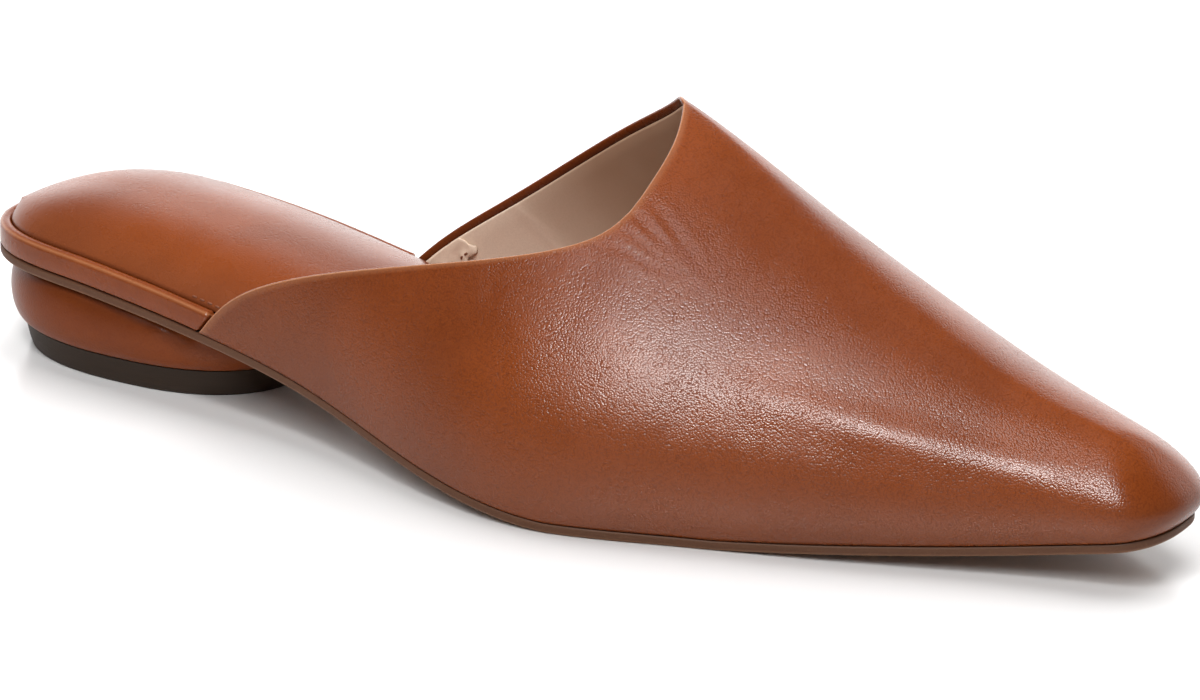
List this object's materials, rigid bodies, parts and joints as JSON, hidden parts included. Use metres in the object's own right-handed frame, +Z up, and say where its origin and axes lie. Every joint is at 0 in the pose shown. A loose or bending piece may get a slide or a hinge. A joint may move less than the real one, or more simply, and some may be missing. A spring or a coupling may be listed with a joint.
{
  "type": "mule shoe",
  "caption": "Right-foot pointed flat mule: one-piece leather vamp open at the back, padded sock on a wrapped footbed, thin outsole, low oval covered heel with a top lift.",
  "frame": {"origin": "on the floor, under the middle of the shoe's outer box", "axes": "+X from the heel to the toe, +Y to the inner (medial) side of the foot, +Z up"},
  "size_m": [0.259, 0.0814, 0.0713],
  "materials": {
    "outsole": "taupe-brown synthetic sheet, satin",
    "footbed_rim": "tan smooth leather wrap",
    "sock": "tan smooth leather, padded",
    "upper": "tan smooth leather with fine grain, satin",
    "heel_block": "tan leather cover",
    "top_lift": "dark brown, matte"
  },
  "bodies": {
    "root": {"outsole": "outsole", "footbed_rim": "footbed_rim", "sock": "sock", "upper": "upper", "heel_block": "heel_block", "top_lift": "top_lift"}
  },
  "joints": []
}
